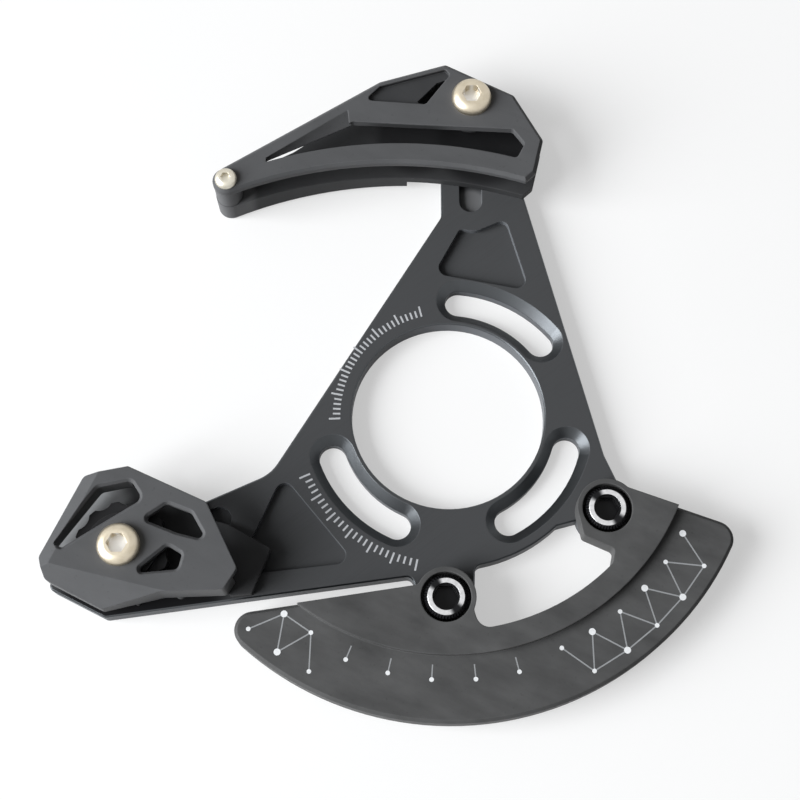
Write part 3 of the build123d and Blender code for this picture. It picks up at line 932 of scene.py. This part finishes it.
@dataclass(frozen=True)
class PinPrint:
    """A printed row of short radial strokes, each with a dot at its outer end."""

    name: str
    first: float
    last: float
    count: int
    inner: float = 57.2 * MM
    outer: float = 60.4 * MM
    line_width: float = 0.28 * MM
    dot: float = 0.50 * MM

    def build_lines(self, face: float, rise: float) -> bpy.types.Object:
        """Make the strokes, each a prism from the inner circle straight out to the outer one.

        Args:
            face: the height of the face that they lie on.
            rise: how far they stand proud.

        Returns:
            The piece.
        """
        degrees = np.linspace(self.first, self.last, self.count)
        starts, ends = (Marks.polar(radius, degrees) for radius in (self.inner, self.outer))
        strokes = Marks.strokes(starts, ends, self.line_width)
        return Marks.prisms(self.name + "_lines", strokes, face - rise, face + rise)

    def build_dots(self, face: float, rise: float) -> bpy.types.Object:
        """Make the dots, each at a stroke's end on the outer circle.

        Args:
            face: the height of the face that they lie on.
            rise: how far they stand proud.

        Returns:
            The piece.
        """
        centres = Marks.polar(self.outer, np.linspace(self.first, self.last, self.count))
        dots = Marks.dots(centres, np.full(self.count, self.dot))
        return Marks.prisms(self.name + "_dots", dots, face - rise, face + rise)


@dataclass(frozen=True)
class Backplate:
    """The anodised backplate with its etched clocking scales."""

    etch_colour: Colour = (0.62, 0.63, 0.65)
    etch_ground: Colour = (0.05, 0.05, 0.06)
    etch_cover: float = 0.75
    rise: float = 0.015 * MM
    # Painted light: a paler patch on the key groove's floor, which lies in shade under the upper guide.
    key_end_painted_light: Patch = Patch((5.9 * MM, 52.5 * MM), 5.0 * MM, (0.15, 0.151, 0.154), 4.2 * MM)
    # Painted shade: a darker patch on the plate's lower arm, under the lower guide's cover and the gap
    # below it.
    toe_painted_shade: Patch = Patch((-68.0 * MM, -50.0 * MM), 24.0 * MM, (0.012, 0.012, 0.013))
    scales: tuple[EtchedScale, ...] = (
        EtchedScale("etched_scale_upper", 104.0, 182.0, 2.6, 24.6 * MM),
        EtchedScale("etched_scale_lower", 204.0, 258.0, 2.25, 34.2 * MM, every=4),
    )

    def dress(self, frame: dict[str, Any]) -> None:
        """Finish the plate and etch its scales.

        Args:
            frame: the loaded frame.
        """
        coat(frame, ("backplate",), AnodisedFinish("anodised_plate", (self.key_end_painted_light, self.toe_painted_shade)))
        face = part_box("backplate")[1].z
        etch = InkFinish("laser_etch", self.etch_colour, self.etch_ground, self.etch_cover).material()
        for scale in self.scales:
            place_mark(scale.build(face, self.rise), FRAME_BODY, etch)


@dataclass(frozen=True)
class BashGuard:
    """The moulded bash guard with its printed marks, its bolts and their sleeves."""

    colour: Colour = (0.083, 0.083, 0.083)
    rubbed: Colour = (0.135, 0.135, 0.134)
    roughness: float = 0.52
    mottle: float = 0.48
    ink: Colour = (0.34, 0.35, 0.36)
    ink_cover: float = 0.80
    dot_ink: Colour = (0.85, 0.86, 0.87)
    dot_cover: float = 0.95
    step_height: float = 1.8 * MM
    head_radius: float = 4.8 * MM
    head_ring: Point = (3.05 * MM, 4.2 * MM)
    rise: float = 0.015 * MM
    prints: tuple[Union[TrussPrint, PinPrint], ...] = (
        TrussPrint("truss_right", -66.0, -29.0, 5),
        TrussPrint("truss_left", -131.5, -117.5, 2, Rim.OUTER),
        PinPrint("pins_middle", -112.0, -76.0, 5),
    )

    def bolt_axes(self) -> tuple[Point, Point]:
        """Find the two bolts, one head radius inside opposite corners of their common box.

        Returns:
            Their axes, from left to right.
        """
        low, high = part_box("guard_bolts")
        reach = self.head_radius
        return (low.x + reach, low.y + reach), (high.x - reach, high.y - reach)

    def dress(self, frame: dict[str, Any]) -> None:
        """Finish the guard, its bolts and sleeves, and print its band.

        Args:
            frame: the loaded frame.
        """
        axes = self.bolt_axes()
        bolt_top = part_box("guard_bolts")[1].z
        coat(frame, ("bash_guard",),
             MouldedFinish("guard_nylon", self.colour, self.rubbed, self.roughness, mottle=self.mottle))
        coat(frame, ("guard_bolts",),
             BlackBoltFinish("black_plated", axes, *self.head_ring, face=bolt_top))
        coat(frame, ("guard_sleeves",),
             TurnedFinish("guard_sleeve_metal", ALUMINIUM, ALUMINIUM_DULL, axes))
        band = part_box("bash_guard")[1].z - self.step_height
        lines = InkFinish("guard_line_ink", self.ink, self.colour, self.ink_cover).material()
        dots = InkFinish("guard_dot_ink", self.dot_ink, self.colour, self.dot_cover).material()
        for mark in self.prints:
            place_mark(mark.build_lines(band, self.rise), FRAME_BODY, lines)
            place_mark(mark.build_dots(band, 2.0 * self.rise), FRAME_BODY, dots)


@dataclass(frozen=True)
class GuideLooks:
    """The colours and roughnesses that both guides' pieces share."""

    nylon: Colour = (0.099, 0.100, 0.103)
    nylon_rubbed: Colour = (0.15, 0.151, 0.155)
    nylon_roughness: float = 0.46
    inner: Colour = (0.046, 0.0465, 0.048)
    inner_rubbed: Colour = (0.07, 0.07, 0.072)
    inner_roughness: float = 0.5
    bolt: Colour = (0.64, 0.575, 0.455)
    bolt_dull: Colour = (0.54, 0.475, 0.36)
    bolt_socket: float = 2.1 * MM
    screw: Colour = (0.72, 0.69, 0.60)
    screw_dull: Colour = (0.55, 0.51, 0.42)
    zinc: Colour = (0.62, 0.62, 0.63)
    zinc_dull: Colour = (0.45, 0.45, 0.47)
    brass: Colour = (0.80, 0.62, 0.30)
    brass_dull: Colour = (0.60, 0.45, 0.20)
    pulley: Colour = (0.024, 0.024, 0.025)
    pulley_rubbed: Colour = (0.05, 0.05, 0.05)
    pulley_roughness: float = 0.40
    steel: Colour = (0.66, 0.66, 0.68)
    steel_dull: Colour = (0.50, 0.50, 0.52)
    steel_roughness: float = 0.2


@dataclass(frozen=True)
class UpperGuide:
    """The upper guide's cheeks, clamp bolt and tip screw."""

    looks: GuideLooks = field(default_factory=GuideLooks)
    tip_reach: float = 7.0 * MM
    # Painted shade: a darker patch on the outer cheek's recess floor, below its top face.
    recess_painted_shade: Patch = Patch((-8.5 * MM, 77.5 * MM), 15.0 * MM, (0.036, 0.0365, 0.038), 14.7 * MM)
    # Painted shade: darker patches on the inner cheek, where it lies in shade behind the outer cheek's
    # window.
    window_painted_shade: tuple[Patch, ...] = (
        Patch((9.0 * MM, 67.5 * MM), 13.0 * MM, (0.010, 0.010, 0.011)),
        Patch((-7.0 * MM, 69.0 * MM), 11.0 * MM, (0.016, 0.016, 0.017)),
    )

    def dress(self, frame: dict[str, Any]) -> None:
        """Finish the pieces of the upper guide.

        Args:
            frame: the loaded frame.
        """
        look = self.looks
        bolt = (axis_of("upper_clamp_bolt"),)
        tip = (axis_of("tip_screw"),)
        coat(frame, ("upper_outer_cheek",),
             MouldedFinish("upper_nylon", look.nylon, look.nylon_rubbed, look.nylon_roughness,
                           patches=(self.recess_painted_shade,)))
        rubbed_tip = Patch(tip[0], self.tip_reach, look.nylon_rubbed)
        coat(frame, ("upper_inner_cheek",),
             MouldedFinish("upper_inner_nylon", look.inner, look.inner_rubbed, look.inner_roughness,
                           patches=(rubbed_tip, *self.window_painted_shade)))
        coat(frame, ("upper_clamp_bolt",),
             TurnedFinish("upper_bolt_plate", look.bolt, look.bolt_dull, bolt, socket=look.bolt_socket))
        coat(frame, ("upper_nut_plate",), TurnedFinish("upper_nut_zinc", look.zinc, look.zinc_dull, bolt))
        coat(frame, ("tip_screw",), TurnedFinish("tip_screw_plate", look.screw, look.screw_dull, tip))
        coat(frame, ("tip_insert",), TurnedFinish("tip_brass", look.brass, look.brass_dull, tip))


@dataclass(frozen=True)
class LowerGuide:
    """The lower guide's cover, base, pulley and bearing."""

    looks: GuideLooks = field(default_factory=GuideLooks)
    # Painted light: a pale patch on the base, seen through the cover's first opening.
    opening_painted_light: Patch = Patch((-82.0 * MM, -23.5 * MM), 13.0 * MM, (0.29, 0.295, 0.30))

    def dress(self, frame: dict[str, Any]) -> None:
        """Finish the pieces of the lower guide.

        Args:
            frame: the loaded frame.
        """
        look = self.looks
        axle = (axis_of("lower_clamp_bolt"),)
        coat(frame, ("lower_cover",),
             MouldedFinish("lower_nylon", look.nylon, look.nylon_rubbed, look.nylon_roughness))
        coat(frame, ("lower_base",),
             MouldedFinish("lower_inner_nylon", look.inner, look.inner_rubbed, look.inner_roughness,
                           patches=(self.opening_painted_light,)))
        coat(frame, ("pulley",),
             MouldedFinish("pulley_nylon", look.pulley, look.pulley_rubbed, look.pulley_roughness))
        coat(frame, ("lower_clamp_bolt",),
             TurnedFinish("lower_bolt_plate", look.bolt, look.bolt_dull, axle, socket=look.bolt_socket))
        coat(frame, ("lower_nut_plate",), TurnedFinish("lower_nut_zinc", look.zinc, look.zinc_dull, axle))
        coat(frame, ("bearing_outer_race", "bearing_inner_race", "bearing_balls", "bearing_shields"),
             TurnedFinish("bearing_steel", look.steel, look.steel_dull, axle, look.steel_roughness))
        coat(frame, ("bearing_spacers", "axle_sleeve"),
             TurnedFinish("axle_metal", ALUMINIUM, ALUMINIUM_DULL, axle))


@dataclass(frozen=True)
class Studio:
    """A white table, a soft key light from the left, a white surround and a camera."""

    floor_reach: float = 3.0
    key_place: Place = (-1.90, -0.51, 1.10)
    key_size: float = 1.6
    key_power: float = 102.0
    key_colour: Colour = (0.96, 0.98, 1.0)
    fill_near: float = 0.30
    fill_far: float = 0.03
    fill_blend: float = 0.6
    camera_place: Place = (-0.010969, -0.099281, 0.331982)
    camera_tilt: float = 17.429
    lens: float = 67.5
    film_width: float = 36.0
    near_clip: float = 10.0 * MM

    def build(self) -> None:
        """Set up table, light, surround and camera."""
        self._table()
        self._key_light()
        self._surround()
        self._camera()

    @staticmethod
    def _add(name: str, data: Any) -> bpy.types.Object:
        """Put new data into the scene as an object.

        Args:
            name: the object's name.
            data: its mesh, lamp or camera.

        Returns:
            The object.
        """
        made = bpy.data.objects.new(name, data)
        bpy.context.scene.collection.objects.link(made)
        return made

    def _table(self) -> None:
        """The table top as a flat square under the plate."""
        reach = self.floor_reach
        corners = [(-reach, -reach, 0.0), (reach, -reach, 0.0), (reach, reach, 0.0), (-reach, reach, 0.0)]
        mesh = bpy.data.meshes.new("table_top")
        mesh.from_pydata(corners, [], [(0, 1, 2, 3)])
        mesh.materials.append(TableFinish("table_top").material())
        self._add("table_top", mesh)

    def _key_light(self) -> None:
        """A large soft lamp that looks at the bore."""
        lamp = bpy.data.lights.new("key_lamp", "AREA")
        lamp.shape = "SQUARE"
        lamp.size = self.key_size
        lamp.energy = self.key_power
        lamp.color = self.key_colour
        light = self._add("key_lamp", lamp)
        light.location = self.key_place
        across, along, up = self.key_place
        light.rotation_euler = (math.atan2(math.hypot(across, along), up), 0.0, math.atan2(across, -along))

    def _surround(self) -> None:
        """A white surround that is shown at full strength and lights softly, most from the lamp's side."""
        graph = Graph(bpy.data.worlds.new("studio"))
        across, along, _ = graph.parts(graph.node("ShaderNodeTexCoord").outputs["Generated"])
        reach = math.hypot(*self.key_place[:2])
        side = across * (self.key_place[0] / reach) + along * (self.key_place[1] / reach)
        far, near, shown = (
            graph.node("ShaderNodeBackground", {}, {"Color": WHITE, "Strength": strength})
            for strength in (self.fill_far, self.fill_near, 1.0)
        )
        light = graph.mix(side.step(-self.fill_blend, self.fill_blend), far, near)
        bpy.context.scene.world = graph.close(graph.mix(graph.seen(), light, shown))

    def _camera(self) -> None:
        """The camera, above and in front of the guide and tilted towards it."""
        data = bpy.data.cameras.new("camera")
        data.lens = self.lens
        data.sensor_width = self.film_width
        data.clip_start = self.near_clip
        camera = self._add("camera", data)
        camera.location = self.camera_place
        camera.rotation_euler = (math.radians(self.camera_tilt), 0.0, 0.0)
        bpy.context.scene.camera = camera


def main() -> None:
    """Load the frame, dress the guide and set up the studio."""
    logging.basicConfig(level=logging.INFO, format="%(name)s: %(message)s")
    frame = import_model()
    bpy.context.scene.view_settings.view_transform = "Standard"
    for assembly in (Backplate(), BashGuard(), UpperGuide(), LowerGuide()):
        assembly.dress(frame)
    Studio().build()


if __name__ == "__main__":
    main()
